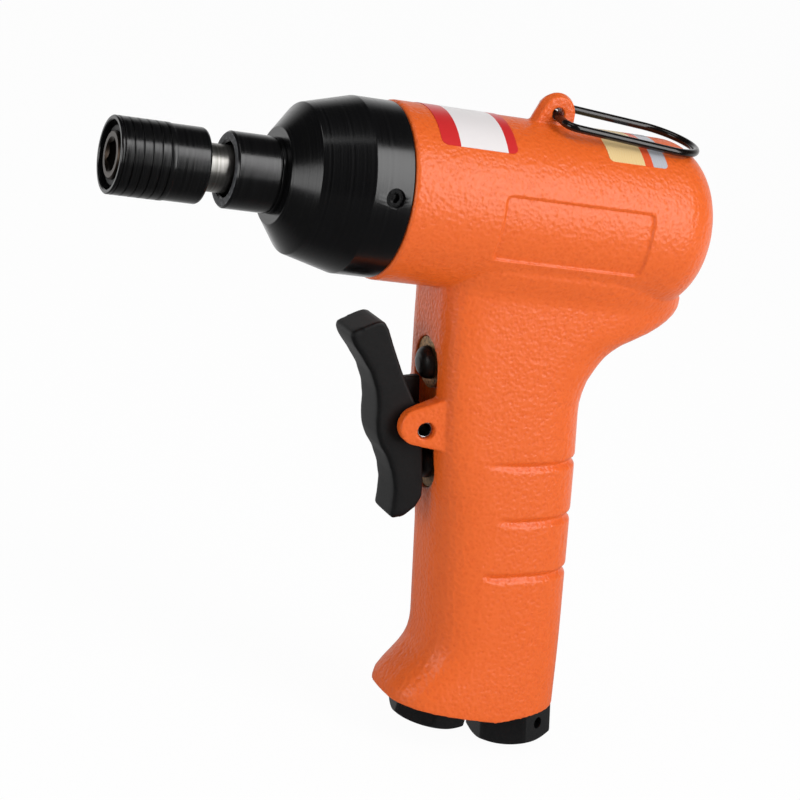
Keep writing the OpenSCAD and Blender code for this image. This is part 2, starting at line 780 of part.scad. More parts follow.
module anvil() {
    chamfer = label_t * 3;
    wing_length = chamber_length - hammer_gap * 2;
    color([0.72, 0.73, 0.75])
        difference() {
            union() {
                turned([[0, 0], [spindle_r - chamfer, 0], [spindle_r, chamfer], [spindle_r, snap_x],
                        [ring_seat_r, snap_x], [ring_seat_r, washer_x], [spindle_r, washer_x], [spindle_r, stop_x],
                        [ring_seat_r, stop_x], [ring_seat_r, stop_x + stop_ring_t], [spindle_r, stop_x + stop_ring_t],
                        [spindle_r, thrust_x], [bushing_r, thrust_x], [bushing_r, thrust_x + seal_t],
                        [spindle_tail_r, thrust_x + seal_t], [spindle_tail_r, chamber_x + chamber_length - hammer_gap],
                        [0, chamber_x + chamber_length - hammer_gap]]);
                translate([chamber_x + hammer_gap, -spindle_r * 0.45, -chamber_d * 0.33])
                    cube([wing_length, spindle_r * 0.9, chamber_d * 0.66]);
            }
            translate([-overrun, 0, 0])
                rotate([0, 90, 0])
                    cylinder(h = socket_depth + overrun, r = bit_flats / sqrt(3), $fn = 6);
            turned([[0, -overrun], [bit_flats / sqrt(3) + overrun + chamfer, -overrun], [bit_flats / 2, chamfer * 2],
                    [0, chamfer * 2]]);
            translate([ball_x, 0, 0])
                cylinder(h = spindle_r + overrun, r = ball_r + run_gap / 2);
        }
}

module bit_ball() {
    color([0.8, 0.81, 0.83])
        translate([ball_x, 0, ball_lift])
            sphere(r = ball_r);
}

module snap_ring() {
    color([0.55, 0.56, 0.58])
        tube(snap_x, washer_x, (spindle_r + chamber_r) / 2, ring_seat_r);
}

module spring_washer() {
    color([0.6, 0.61, 0.63])
        tube(washer_x, spring_x, chamber_r - run_gap, spindle_r);
}

module sleeve_spring() {
    mean = (spindle_r + chamber_r) / 2;
    color([0.6, 0.61, 0.63])
        translate([spring_x, 0, 0])
            rotate([0, 90, 0])
                coil(mean, sleeve_wire / 2, land_front - spring_x, 3);
}

module stop_ring() {
    color([0.55, 0.56, 0.58])
        tube(stop_x, stop_x + stop_ring_t, mouth_r - run_gap * 4, ring_seat_r);
}

module chuck_sleeve() {
    front = -sleeve_lead;
    rear = sleeve_length - sleeve_lead;
    soft_r = label_t * 5;
    ribs = [for (i = [0:rib_count - 1])
        let (x = front + rib_pitch * (i + 0.36))
        each [[sleeve_r, x - rib_depth / 2], [sleeve_r - rib_depth, x], [sleeve_r - rib_depth, x + rib_depth / 2],
              [sleeve_r, x + rib_depth]]];
    outside = concat([[sleeve_r - label_t * 2, front], [sleeve_r, front + label_t * 2]], ribs,
        [[sleeve_r, front + rib_zone], [tail_r, front + rib_zone + label_t], [tail_r, rear - soft_r],
         [tail_r - soft_r * 0.3, rear - soft_r * 0.3], [tail_r - soft_r, rear]]);
    inside = [[mouth_r, rear], [mouth_r, pocket_rear], [pocket_r, pocket_rear], [pocket_r, land_rear],
              [land_r, land_rear], [land_r, land_front], [chamber_r, land_front], [chamber_r, front + label_t * 2],
              [chamber_r + label_t * 2, front]];
    color([0.1, 0.1, 0.11])
        turned(concat(outside, inside));
}

module hammer_cage() {
    wall = cage_r - chamber_d / 2;
    color([0.5, 0.51, 0.53])
        difference() {
            bar(cage_x, cage_end, cage_r);
            bar(chamber_x, chamber_x + chamber_length, chamber_d / 2);
            bar(cage_x - overrun, chamber_x + overrun, spindle_tail_r + run_gap);
            translate([cage_end - hammer_length, 0, 0])
                rotate([0, 90, 0])
                    cylinder(h = hammer_length + overrun, r = front_shaft_r, $fn = 6);
            hammer_pin_cuts();
            translate([chamber_x + hammer_gap, -chamber_d * 0.3, -cage_r * 2])
                cube([chamber_length - 2 * hammer_gap, chamber_d * 0.6, cage_r * 4]);
        }
}

// the two pins lie half in the cage wall
module hammer_pin_cuts() {
    for (side = [-1, 1])
        translate([0, side * chamber_d / 2, 0])
            bar(cage_x, cage_end - stop_ring_t, ball_r);
}

module hammer_pins() {
    color([0.75, 0.76, 0.78])
        hammer_pin_cuts();
}

// a hammer ring with one dog inside, notched for the pins
module hammer(x, turn) {
    ring_r = chamber_d / 2 - run_gap * 2;
    hole_r = chamber_d * 0.36;
    difference() {
        union() {
            tube(x, x + hammer_length, ring_r, hole_r);
            rotate([turn, 0, 0])
                translate([x, spindle_tail_r + run_gap * 6, -spindle_r * 0.4])
                    cube([hammer_length, hole_r - spindle_tail_r, spindle_r * 0.8]);
        }
        for (side = [-1, 1])
            translate([0, side * chamber_d / 2, 0])
                bar(x - overrun, x + hammer_length + overrun, ball_r);
    }
}

module front_hammer() {
    color([0.42, 0.43, 0.45])
        hammer(chamber_x + hammer_gap, hammer_turn);
}

module rear_hammer() {
    color([0.42, 0.43, 0.45])
        hammer(chamber_x + 2 * hammer_gap + hammer_length, hammer_turn + 180);
}

module front_end_plate() {
    color([0.6, 0.61, 0.63])
        difference() {
            bar(plate_x, cylinder_x, bore_r);
            bar(plate_x - overrun, plate_x + front_bearing_w, front_bearing_r);
            bar(plate_x, cylinder_x + overrun, front_shaft_r + seal_t);
            cylinder_pin_cut();
        }
}

module motor_cylinder() {
    color([0.56, 0.57, 0.59])
        difference() {
            bar(cylinder_x, rear_plate_x, bore_r);
            translate([0, 0, cylinder_shift])
                bar(cylinder_x - overrun, rear_plate_x + overrun, cylinder_bore_r);
            for (i = [-1:1])
                translate([cylinder_x + cylinder_length * (0.3 + 0.16 * i), 0, -bore_r * 2])
                    cylinder(h = bore_r * 2, r = port_r);
            cylinder_pin_cut();
        }
}

module cylinder_pin_cut() {
    translate([0, 0, bore_r - stop_ring_t * 1.1])
        bar(cylinder_x - stop_ring_t * 2, cylinder_x + stop_ring_t * 3, stop_ring_t * 0.7);
}

module cylinder_pin() {
    color([0.75, 0.76, 0.78])
        cylinder_pin_cut();
}

module rear_end_plate() {
    color([0.6, 0.61, 0.63])
        difference() {
            bar(rear_plate_x, gasket_x, bore_r);
            bar(gasket_x - rear_bearing_w, gasket_x + overrun, rear_bearing_r);
            bar(rear_plate_x - overrun, gasket_x, rear_shaft_r + seal_t);
        }
}

module motor_gasket() {
    color([0.35, 0.3, 0.25])
        tube(gasket_x, bore_end, bore_r, rear_bearing_r);
}

module vane_cuts(width, bottom) {
    for (i = [0:vane_count - 1])
        rotate([360 * i / vane_count, 0, 0])
            translate([cylinder_x + rotor_gap, -width / 2, bottom])
                cube([cylinder_length - 2 * rotor_gap, width, rotor_r * 0.99 - bottom]);
}

module rotor() {
    color([0.68, 0.69, 0.71])
        union() {
            difference() {
                bar(cylinder_x + rotor_gap, rear_plate_x - rotor_gap, rotor_r);
                for (i = [0:vane_count - 1])
                    rotate([360 * i / vane_count, 0, 0])
                        translate([cylinder_x, -vane_t / 2, rotor_r * 0.52])
                            cube([cylinder_length, vane_t, rotor_r]);
            }
            bar(cage_end, cylinder_x + rotor_gap, front_shaft_r);
            translate([cage_end - hammer_length * 0.4 + hammer_gap, 0, 0])
                rotate([0, 90, 0])
                    cylinder(h = hammer_length * 0.4, r = front_shaft_r, $fn = 6);
            bar(rear_plate_x - rotor_gap, gasket_x - run_gap, rear_shaft_r);
        }
}

module rotor_vanes() {
    color([0.5, 0.36, 0.2])
        vane_cuts(vane_t, rotor_r * 0.54);
}

// bearing pieces: the balls touch the outer ring and run clear of the inner one
function race_r(outer, inner, share) = inner + (outer - inner) * share;

module front_bearing_outer() {
    color([0.78, 0.79, 0.8])
        tube(plate_x, plate_x + front_bearing_w, front_bearing_r, race_r(front_bearing_r, front_shaft_r, 0.75));
}

module front_bearing_inner() {
    color([0.78, 0.79, 0.8])
        tube(plate_x, plate_x + front_bearing_w, race_r(front_bearing_r, front_shaft_r, 0.25), front_shaft_r);
}

module bearing_balls(x, outer, inner) {
    size = (outer - inner) * 0.25 - run_gap / 2;
    pitch = race_r(outer, inner, 0.75) - size;
    for (i = [0:6])
        rotate([360 * i / 7, 0, 0])
            translate([x, 0, pitch])
                sphere(r = size);
}

module front_bearing_balls() {
    color([0.85, 0.86, 0.87])
        bearing_balls(plate_x + front_bearing_w / 2, front_bearing_r, front_shaft_r);
}

module rear_bearing_outer() {
    color([0.78, 0.79, 0.8])
        tube(gasket_x - rear_bearing_w, gasket_x, rear_bearing_r, race_r(rear_bearing_r, rear_shaft_r, 0.75));
}

module rear_bearing_inner() {
    color([0.78, 0.79, 0.8])
        tube(gasket_x - rear_bearing_w, gasket_x, race_r(rear_bearing_r, rear_shaft_r, 0.25), rear_shaft_r);
}

module rear_bearing_balls() {
    color([0.85, 0.86, 0.87])
        bearing_balls(gasket_x - rear_bearing_w / 2, rear_bearing_r, rear_shaft_r);
}

// valve pieces, drawn on the handle line at the height of one valve
module valve_bushing(z) {
    color([0.7, 0.48, 0.25])
        on_grip()
            difference() {
                cross_bar(valve_face, valve_bushing_end, valve_bushing_r, z);
                cross_bar(valve_face - overrun, valve_bushing_end + overrun, plunger_r + run_gap, z);
                down_bar(passage_x, z + valve_bushing_d, z - valve_bushing_d, plunger_r * 0.5);
            }
}

// domed face of a plunger: shares of its radius from the axis outwards and back from the face
face_shares = [[0, 0], [0.38, 0.03], [0.65, 0.12], [0.85, 0.26], [0.96, 0.42], [1, 0.58]];

module plunger(z) {
    waist = plunger_face + plunger_r * 2.3;
    land = plunger_face + plunger_r * 3.4;
    seat = plunger_face + plunger_r * 1.6;
    guide_r = plunger_r * 0.8;
    color([0.07, 0.07, 0.075])
        on_grip()
            translate([0, 0, z])
                turned(concat([for (p = face_shares) [p[0] * plunger_r, plunger_face + p[1] * plunger_r]],
                       [[plunger_r, seat], [guide_r, seat], [guide_r, seat + valve_wire + seal_t],
                        [plunger_r, seat + valve_wire + seal_t], [plunger_r, waist], [plunger_r * 0.5, waist],
                        [plunger_r * 0.5, land], [plunger_r, land], [plunger_r, plunger_end], [0, plunger_end]]));
}

module plunger_o_ring(z) {
    ring = (plunger_r + run_gap / 2 - plunger_r * 0.8) / 2;
    color([0.1, 0.1, 0.1])
        on_grip()
            translate([plunger_face + plunger_r * 1.6 + (valve_wire + seal_t) / 2, 0, z])
                rotate([0, 90, 0])
                    rotate_extrude()
                        translate([plunger_r * 0.8 + ring, 0])
                            circle(r = ring);
}

module valve_spring(z) {
    color([0.65, 0.66, 0.68])
        on_grip()
            translate([plunger_end, 0, z])
                rotate([0, 90, 0])
                    coil(plunger_r * 0.78, valve_wire / 2, spring_floor - plunger_end, 4);
}

module upper_valve_bushing() {
    valve_bushing(upper_z);
}

module upper_plunger() {
    plunger(upper_z);
}

module upper_o_ring() {
    plunger_o_ring(upper_z);
}

module upper_valve_spring() {
    valve_spring(upper_z);
}

module lower_valve_bushing() {
    valve_bushing(lower_z);
}

module lower_plunger() {
    plunger(lower_z);
}

module lower_o_ring() {
    plunger_o_ring(lower_z);
}

module lower_valve_spring() {
    valve_spring(lower_z);
}

module inlet_fitting() {
    foot = -seal_t - inlet_hex;
    color([0.1, 0.1, 0.11])
        on_foot()
            difference() {
                union() {
                    hex_bar(inlet_x, -seal_t, foot, inlet_turn, inlet_flats);
                    down_bar(inlet_x, inlet_thread, -seal_t - overrun, inlet_r);
                }
                down_bar(inlet_x, foot + hose_thread_depth, foot - overrun, hose_thread_d / 2);
                down_bar(inlet_x, inlet_thread + overrun, foot, hose_thread_d * 0.4);
            }
}

module inlet_seal() {
    color([0.6, 0.35, 0.2])
        on_foot()
            difference() {
                down_bar(inlet_x, 0, -seal_t, inlet_flats * 0.49);
                down_bar(inlet_x, overrun, -seal_t - overrun, inlet_r);
            }
}

module inlet_strainer() {
    top = inlet_thread + seal_t;
    color([0.7, 0.71, 0.72])
        on_foot()
            difference() {
                down_bar(inlet_x, top, inlet_thread, inlet_r);
                for (i = [0:6])
                    translate([inlet_x + (i > 0 ? hose_thread_d * 0.24 * cos(60 * i) : 0),
                               i > 0 ? hose_thread_d * 0.24 * sin(60 * i) : 0, top - seal_t - overrun])
                        cylinder(h = seal_t + 2 * overrun, r = hose_thread_d * 0.08);
            }
}

module exhaust_fitting() {
    hex_top = exhaust_floor - seal_t;
    foot = hex_top - exhaust_hex;
    color([0.09, 0.09, 0.1])
        on_grip()
            difference() {
                union() {
                    hex_bar(exhaust_x, hex_top, foot, exhaust_turn, fitting_flats);
                    down_bar(exhaust_x, exhaust_floor + exhaust_thread, hex_top - overrun, exhaust_r);
                }
                down_bar(exhaust_x, exhaust_floor + exhaust_thread + overrun, foot - overrun, exhaust_r - snap_ring_t * 2);
                translate([exhaust_x, 0, hex_top - exhaust_hex * 0.48])
                    rotate([0, 0, exhaust_turn - 90])
                        bar(exhaust_r * 0.86, fitting_r, side_hole_d / 2);
            }
}

module exhaust_seal() {
    color([0.6, 0.35, 0.2])
        on_grip()
            difference() {
                down_bar(exhaust_x, exhaust_floor, exhaust_floor - seal_t, fitting_flats * 0.48);
                down_bar(exhaust_x, exhaust_floor + overrun, exhaust_floor - seal_t - overrun, exhaust_r);
            }
}

module exhaust_silencer() {
    foot = exhaust_floor - seal_t - exhaust_hex;
    color([0.72, 0.6, 0.42])
        on_grip()
            down_bar(exhaust_x, exhaust_floor + exhaust_thread * 0.5, foot + stop_ring_t * 1.5, exhaust_r - snap_ring_t * 2);
}

housing();
nose_cone();
nose_collar();
collar_seal();
spindle_bushing();
grease_screw();
front_label();
rear_label();
hanger_bail();
trigger_pin();
trigger();
anvil();
bit_ball();
snap_ring();
spring_washer();
sleeve_spring();
stop_ring();
chuck_sleeve();
hammer_cage();
front_hammer();
rear_hammer();
hammer_pins();
front_end_plate();
motor_cylinder();
cylinder_pin();
rear_end_plate();
motor_gasket();
rotor();
rotor_vanes();
front_bearing_outer();
front_bearing_balls();
front_bearing_inner();
rear_bearing_outer();
rear_bearing_balls();
rear_bearing_inner();
upper_valve_bushing();
upper_plunger();
upper_o_ring();
upper_valve_spring();
lower_valve_bushing();
lower_plunger();
lower_o_ring();
lower_valve_spring();
inlet_fitting();
inlet_seal();
inlet_strainer();
exhaust_fitting();
exhaust_seal();
exhaust_silencer();
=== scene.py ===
import math

import bmesh
import bpy
from mathutils import Euler, Matrix, Vector


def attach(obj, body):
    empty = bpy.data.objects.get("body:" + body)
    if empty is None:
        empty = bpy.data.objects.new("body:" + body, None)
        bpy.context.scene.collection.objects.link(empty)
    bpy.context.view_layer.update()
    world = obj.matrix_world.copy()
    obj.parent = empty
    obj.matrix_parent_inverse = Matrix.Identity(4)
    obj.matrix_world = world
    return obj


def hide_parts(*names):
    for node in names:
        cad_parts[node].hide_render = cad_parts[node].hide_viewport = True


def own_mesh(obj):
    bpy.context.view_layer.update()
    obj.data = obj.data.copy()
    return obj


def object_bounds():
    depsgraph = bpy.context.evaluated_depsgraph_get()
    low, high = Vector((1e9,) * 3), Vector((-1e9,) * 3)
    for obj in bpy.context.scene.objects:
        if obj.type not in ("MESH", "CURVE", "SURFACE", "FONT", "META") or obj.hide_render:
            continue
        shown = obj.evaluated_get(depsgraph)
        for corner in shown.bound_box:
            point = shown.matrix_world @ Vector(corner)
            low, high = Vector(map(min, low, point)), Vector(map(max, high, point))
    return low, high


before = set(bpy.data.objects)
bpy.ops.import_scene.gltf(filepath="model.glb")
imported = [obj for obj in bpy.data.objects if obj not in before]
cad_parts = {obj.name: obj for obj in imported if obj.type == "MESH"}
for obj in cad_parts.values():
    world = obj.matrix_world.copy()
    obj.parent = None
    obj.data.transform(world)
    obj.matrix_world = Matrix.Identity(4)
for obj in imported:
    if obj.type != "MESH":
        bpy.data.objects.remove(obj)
cad_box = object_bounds()

# The studio: a white sweep in a dark room, a tall softbox at the right of the camera, a wide one
# overhead and a card at the left. The long lens stands at the front left of the tool, rolled.


def colour(code):
    """A colour written as sRGB hex, as the linear colour that shaders take."""
    parts = [int(code[i : i + 2], 16) / 255 for i in (1, 3, 5)]
    return [c / 12.92 if c <= 0.04045 else ((c + 0.055) / 1.055) ** 2.4 for c in parts] + [1]


def add(tree, kind, inputs={}, **fields):
    """Adds a shader node. Each input is set to a value, or linked when it is given a socket."""
    made = tree.nodes.new("ShaderNode" + kind)
    for name, value in fields.items():
        setattr(made, name, value)
    for name, value in inputs.items():
        if isinstance(value, bpy.types.NodeSocket):
            tree.links.new(value, made.inputs[name])
        else:
            made.inputs[name].default_value = value
    return made


camera = bpy.data.objects.new("camera", bpy.data.cameras.new("camera"))
camera.data.lens = 113.43
camera.data.sensor_width = 36
camera.data.clip_start = 0.01
camera.location = Vector((-170.82, -524.71, 95.40)) / 1000
camera.rotation_euler = Euler([math.radians(a) for a in (75.7072, -11.4994, -22.7651)])
bpy.context.scene.collection.objects.link(camera)
bpy.context.scene.camera = camera
bpy.context.scene.view_settings.view_transform = "Standard"

world = bpy.data.worlds.new("studio")
world.use_nodes = True
world.node_tree.nodes.clear()
room = world.node_tree
ray = add(room, "LightPath").outputs
# behind the tool the sweep is white up to a low edge and the rest of the room is dark; reflections
# show both
ahead = add(room, "VectorMath", {0: add(room, "TexCoord").outputs["Generated"], 1: (0.433, 0.901, -0.9)},
            operation="DOT_PRODUCT")
sweep = add(room, "MapRange", {"Value": ahead.outputs["Value"], "From Min": 0.1, "From Max": 0.7,
                               "To Min": 0.02, "To Max": 0.9})
fill = add(room, "Background", {"Color": colour("#ffffff"), "Strength": 0.4})
seen = add(room, "Background", {"Color": colour("#ffffff"), "Strength": 1.0})
mirrored = add(room, "Background", {"Color": colour("#ffffff"), "Strength": sweep.outputs["Result"]})
shine = add(room, "MixShader", {0: ray["Is Glossy Ray"], 1: fill.outputs[0], 2: mirrored.outputs[0]})
sky = add(room, "MixShader", {0: ray["Is Camera Ray"], 1: shine.outputs[0], 2: seen.outputs[0]})
add(room, "OutputWorld", {"Surface": sky.outputs[0]})
bpy.context.scene.world = world

# each lamp has its place, the point that it faces, its width and height, and its power in watts
for name, place, aim, (width, height), power in (
        ("key_softbox", (470, -620, 360), (80, 0, -40), (360, 960), 5.3),
        ("top_softbox", (-260, -160, 900), (80, 0, -40), (600, 400), 1.2),
        ("left_card", (-900, -350, 60), (80, 0, -60), (500, 500), 2.6)):
    lamp = bpy.data.objects.new(name, bpy.data.lights.new(name, "AREA"))
    lamp.data.shape = "RECTANGLE"
    lamp.data.size, lamp.data.size_y = width / 1000, height / 1000
    lamp.data.energy = power
    lamp.location = Vector(place) / 1000
    lamp.rotation_euler = (Vector(aim) - Vector(place)).to_track_quat("-Z", "Y").to_euler()
    bpy.context.scene.collection.objects.link(lamp)

paper = bpy.data.materials.new("white_paper_sweep")
paper.use_nodes = True
paper.node_tree.nodes.clear()
sheet = paper.node_tree
ray = add(sheet, "LightPath").outputs
# in reflections the sheet is white behind the tool and falls into the dark towards the camera
ahead = add(sheet, "VectorMath", {0: add(sheet, "TexCoord").outputs["Object"], 1: (0.433, 0.901, 0)},
            operation="DOT_PRODUCT")
depth = add(sheet, "MapRange", {"Value": ahead.outputs["Value"], "From Min": 0.0, "From Max": 0.35,
                                "To Min": 0.07, "To Max": 1.0})
looked_at = add(sheet, "Math", {0: ray["Is Camera Ray"], 1: 0.965}, operation="MULTIPLY")
share = add(sheet, "Math", {0: looked_at.outputs[0], 1: ray["Is Glossy Ray"]}, operation="MAXIMUM")
matt = add(sheet, "BsdfDiffuse", {"Color": colour("#f2f2f2")})
bright = add(sheet, "Math", {0: ray["Is Camera Ray"], 1: depth.outputs["Result"]}, operation="MAXIMUM")
lit = add(sheet, "Emission", {"Color": colour("#ffffff"), "Strength": bright.outputs[0]})
both = add(sheet, "MixShader", {0: share.outputs[0], 1: matt.outputs[0], 2: lit.outputs[0]})
add(sheet, "OutputMaterial", {"Surface": both.outputs[0]})
ground = bmesh.new()
bmesh.ops.create_grid(ground, x_segments=1, y_segments=1, size=4)
bmesh.ops.translate(ground, vec=(0, 0, cad_box[0].z - 0.0002), verts=ground.verts)
floor = bpy.data.objects.new("floor", bpy.data.meshes.new("floor"))
ground.to_mesh(floor.data)
ground.free()
floor.data.materials.append(paper)
bpy.context.scene.collection.objects.link(floor)

# The housing is one aluminium casting: barrel, handle, hanger lug and the two ears of the trigger.
# It is bored, then powder coated in a leather-grained orange that rounds every cast edge.


def shader(name, settings):
    """A new material with one Principled shader: the material, its nodes, the shader, the place."""
    made = bpy.data.materials.new(name)
    made.use_nodes = True
    made.node_tree.nodes.clear()
    tree = made.node_tree
    surface = add(tree, "BsdfPrincipled", settings)
    add(tree, "OutputMaterial", {"Surface": surface.outputs[0]})
    return made, tree, surface, add(tree, "TexCoord").outputs["Object"]


def grain(tree, place, width, detail=2.0, roughness=0.5, **fields):
    """Noise whose lumps are about width millimetres across."""
    return add(tree, "TexNoise", {"Vector": place, "Scale": 500 / width, "Detail": detail,
                                  "Roughness": roughness}, **fields).outputs["Fac"]


def steps(tree, value, *stops):
    """A colour ramp through (position, sRGB hex) stops."""
    ramp = add(tree, "ValToRGB", {"Fac": value})
    ends = ramp.color_ramp.elements
    ends[0].position, ends[1].position = stops[0][0], stops[-1][0]
    for position, code in stops[1:-1]:
        ends.new(position)
    for element, (position, code) in zip(ends, stops):
        element.color = colour(code)
    return ramp.outputs["Color"]


def relief(tree, surface, height, depth, under=None):
    """Bump of that depth in millimetres on a shader, over another bump when one is given."""
    inputs = {"Height": height, "Strength": 1.0, "Distance": depth / 1000}
    if under:
        inputs["Normal"] = under
    bump = add(tree, "Bump", inputs).outputs["Normal"]
    tree.links.new(bump, surface.inputs["Normal"])
    return bump


def put(mesh, place=Matrix()):
    """Moves a mesh in millimetres to its place, then scales it to metres."""
    bmesh.ops.transform(mesh, matrix=place, verts=mesh.verts)
    bmesh.ops.scale(mesh, vec=(0.001, 0.001, 0.001), verts=mesh.verts)
    return mesh


def smooth(thing, arris=42):
    """Smooth faces, sharp where they meet at more than arris degrees; large faces stay flat."""
    thing.data.polygons.foreach_set("use_smooth", [True] * len(thing.data.polygons))
    thing.data.set_sharp_from_angle(angle=math.radians(arris))
    thing.modifiers.new("flat_faces", "WEIGHTED_NORMAL").keep_sharp = True


def settle(thing):
    """Keeps what an object's modifiers make as its own mesh."""
    made = bpy.data.meshes.new_from_object(thing.evaluated_get(bpy.context.evaluated_depsgraph_get()))
    thing.modifiers.clear()
    thing.data = made
    made.name = thing.name


def piece(name, mesh, body, material, slot, *nodes):
    """Makes an object of a mesh and gives it to a body, in place of its CAD nodes."""
    made = bpy.data.objects.new(name, bpy.data.meshes.new(name))
    mesh.to_mesh(made.data)
    mesh.free()
    made.data.materials.append(material)
    smooth(made)
    bpy.context.scene.collection.objects.link(made)
    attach(made, body)
    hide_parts(*nodes)
    return made


def soften_all(thing, grid, rounds, kept):
    """Rounds every edge: an even skin with cells of grid metres, smoothed, then thinned to a share."""
    remesh = thing.modifiers.new("even_skin", "REMESH")
    remesh.mode = "VOXEL"
    remesh.voxel_size = grid
    soften = thing.modifiers.new("soft_edges", "SMOOTH")
    soften.factor = 0.5
    soften.iterations = rounds
    thing.modifiers.new("thinned", "DECIMATE").ratio = kept
    settle(thing)
    thing.data.polygons.foreach_set("use_smooth", [True] * len(thing.data.polygons))


# powder coat: pebbles under a millimetre across, each taking the light as a small soft glint
coat, tree, surface, place = shader("orange_powder_coat", {"Roughness": 0.37})
pebbles = add(tree, "TexVoronoi", {"Vector": place, "Scale": 1000 / 0.95, "Smoothness": 0.6},
              feature="SMOOTH_F1").outputs["Distance"]
peel = grain(tree, place, 0.7, 2.0, 0.5)
skin = add(tree, "Math", {0: pebbles, 1: 0.9, 2: peel}, operation="MULTIPLY_ADD").outputs[0]
relief(tree, surface, skin, 0.16)
# the colour is a touch darker where the grain lies low: painted shade in the pits of the coat
tree.links.new(steps(tree, skin, (0.3, "#e15b14"), (1.0, "#e9651f")), surface.inputs["Base Color"])

cast = bmesh.new()
cast.from_mesh(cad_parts["housing"].data)
bmesh.ops.remove_doubles(cast, verts=cast.verts, dist=0.000002)
bmesh.ops.recalc_face_normals(cast, faces=cast.faces)
housing = piece("housing_casting", cast, "tool_body", coat, "orange_casting", "housing")
soften_all(housing, grid=0.00033, rounds=3, kept=0.2)

# The nose cone is turned from steel bar and blackened. It closes the barrel, and its long spigot
# holds the hammer mechanism. A grease screw sits in a threaded hole in its rear band.


def lathe(outline, soft=0.12, sides=144):
    """A turned solid. The outline is a loop of (station along X, radius), its corners rounded by soft."""
    mesh = bmesh.new()
    corners = [mesh.verts.new((x, 0, r)) for x, r in outline]
    on_axis = outline[0][1] + outline[-1][1] == 0
    for here, there in zip(corners, corners[1:] if on_axis else corners[1:] + corners[:1]):
        mesh.edges.new((here, there))
    if soft:
        bmesh.ops.bevel(mesh, geom=corners[1:-1] if on_axis else corners, affect="VERTICES", offset=soft,
                        segments=3, profile=0.5, material=-1)
    bmesh.ops.spin(mesh, geom=mesh.verts[:] + mesh.edges[:], cent=(0, 0, 0), axis=(1, 0, 0),
                   angle=math.tau, steps=sides, use_merge=True)
    bmesh.ops.remove_doubles(mesh, verts=mesh.verts, dist=0.0005)
    bmesh.ops.recalc_face_normals(mesh, faces=mesh.faces)
    return mesh


def carve(thing, tool, operation="DIFFERENCE"):
    """Cuts a mesh in metres out of an object, or joins it on, and keeps the result."""
    other = bpy.data.objects.new("tool", bpy.data.meshes.new("tool"))
    tool.to_mesh(other.data)
    tool.free()
    bpy.context.scene.collection.objects.link(other)
    cut = thing.modifiers.new("cut", "BOOLEAN")
    cut.object, cut.operation, cut.solver = other, operation, "EXACT"
    settle(thing)
    bpy.data.objects.remove(other)
    smooth(thing)


def turning(tree, place, feed):
    """Rings left by a lathe tool, fine lines that run round the X axis on cylinders, cones and faces."""
    along = add(tree, "SeparateXYZ", {"Vector": place}).outputs
    flat = add(tree, "CombineXYZ", {"X": 0.0, "Y": along["Y"], "Z": along["Z"]})
    out = add(tree, "VectorMath", {0: flat.outputs[0]}, operation="LENGTH").outputs["Value"]
    travel = add(tree, "Math", {0: along["X"], 1: out}, operation="ADD").outputs[0]
    return add(tree, "TexNoise", {"W": travel, "Scale": 500 / feed, "Detail": 3.0, "Roughness": 0.7},
               noise_dimensions="1D").outputs["Fac"]


# black oxide on turned steel: a dark skin with a satin shine. The real feed of 0.1 mm is too fine
# for a picture and is drawn at 0.35 mm
blackened, tree, surface, place = shader("black_oxide_turned_steel", {"Roughness": 0.2})
rings = turning(tree, place, 0.35)
tree.links.new(steps(tree, rings, (0.3, "#070708"), (0.75, "#101011")), surface.inputs["Base Color"])
satin = add(tree, "MapRange", {"Value": rings, "From Min": 0.3, "From Max": 0.7,
                               "To Min": 0.16, "To Max": 0.26})
tree.links.new(satin.outputs[0], surface.inputs["Roughness"])
relief(tree, surface, rings, 0.006)

nose = piece("nose_cone_turned", put(lathe([
    (38.6, 8.0), (38.6, 11.2), (43.6, 17.45), (55.3, 20.5), (64.54, 20.5), (64.9, 20.14), (64.9, 18.45),
    (90, 18.45), (90, 17), (57.51, 17), (57.51, 8.0)], soft=0.16)), "tool_body", blackened, "black_steel",
    "nose_cone")
# the screw hole is drilled through the band and countersunk a little
drill = lathe([(-23, 0), (-23, 3.4), (-20.7, 2.42), (-20.2, 2.3), (-15, 2.3), (-15, 0)], soft=0, sides=48)
screw_place = Matrix.Translation((60.484, 0, 2.05)) @ Matrix.Rotation(math.radians(90), 4, "Z")
carve(nose, put(drill, screw_place))

# the collar is a second turned piece, screwed into the cone, with a groove near its rear
collar = piece("nose_collar_turned", put(lathe([
    (27.28, 6.2), (26.8, 6.68), (26.8, 8.32), (27.28, 8.8), (37.1, 8.8), (37.1, 8.32), (37.58, 8.32),
    (37.58, 8.8), (38.6, 8.8), (38.6, 8.0), (41.1, 8.0), (41.1, 6.2), (38.1, 6.2), (38.1, 7.0), (36.1, 7.0),
    (36.1, 6.2)], 0.1)), "tool_body", blackened, "black_steel", "nose_collar")
# its front face is left as it was shot-blasted, a matt grey with a fine speckle
blasted, tree, surface, place = shader("shot_blasted_steel", {"Roughness": 0.6})
pits = grain(tree, place, 0.35, 3.0, 0.7)
tree.links.new(steps(tree, pits, (0.35, "#3c3d40"), (0.6, "#606164"), (0.75, "#a0a1a4")),
               surface.inputs["Base Color"])
relief(tree, surface, pits, 0.02)
collar.data.materials.append(blasted)
face_x = 0.0268
for face in collar.data.polygons:
    face.material_index = int(face.center.x < face_x + 0.00015 and face.normal.x < -0.7)


def dress(material, *nodes):
    """Gives CAD nodes a material."""
    for name in nodes:
        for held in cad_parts[name].material_slots:
            held.material = material


# the grub screw is blackened too; grease left in its hole glints
dress(blackened, "grease_screw")

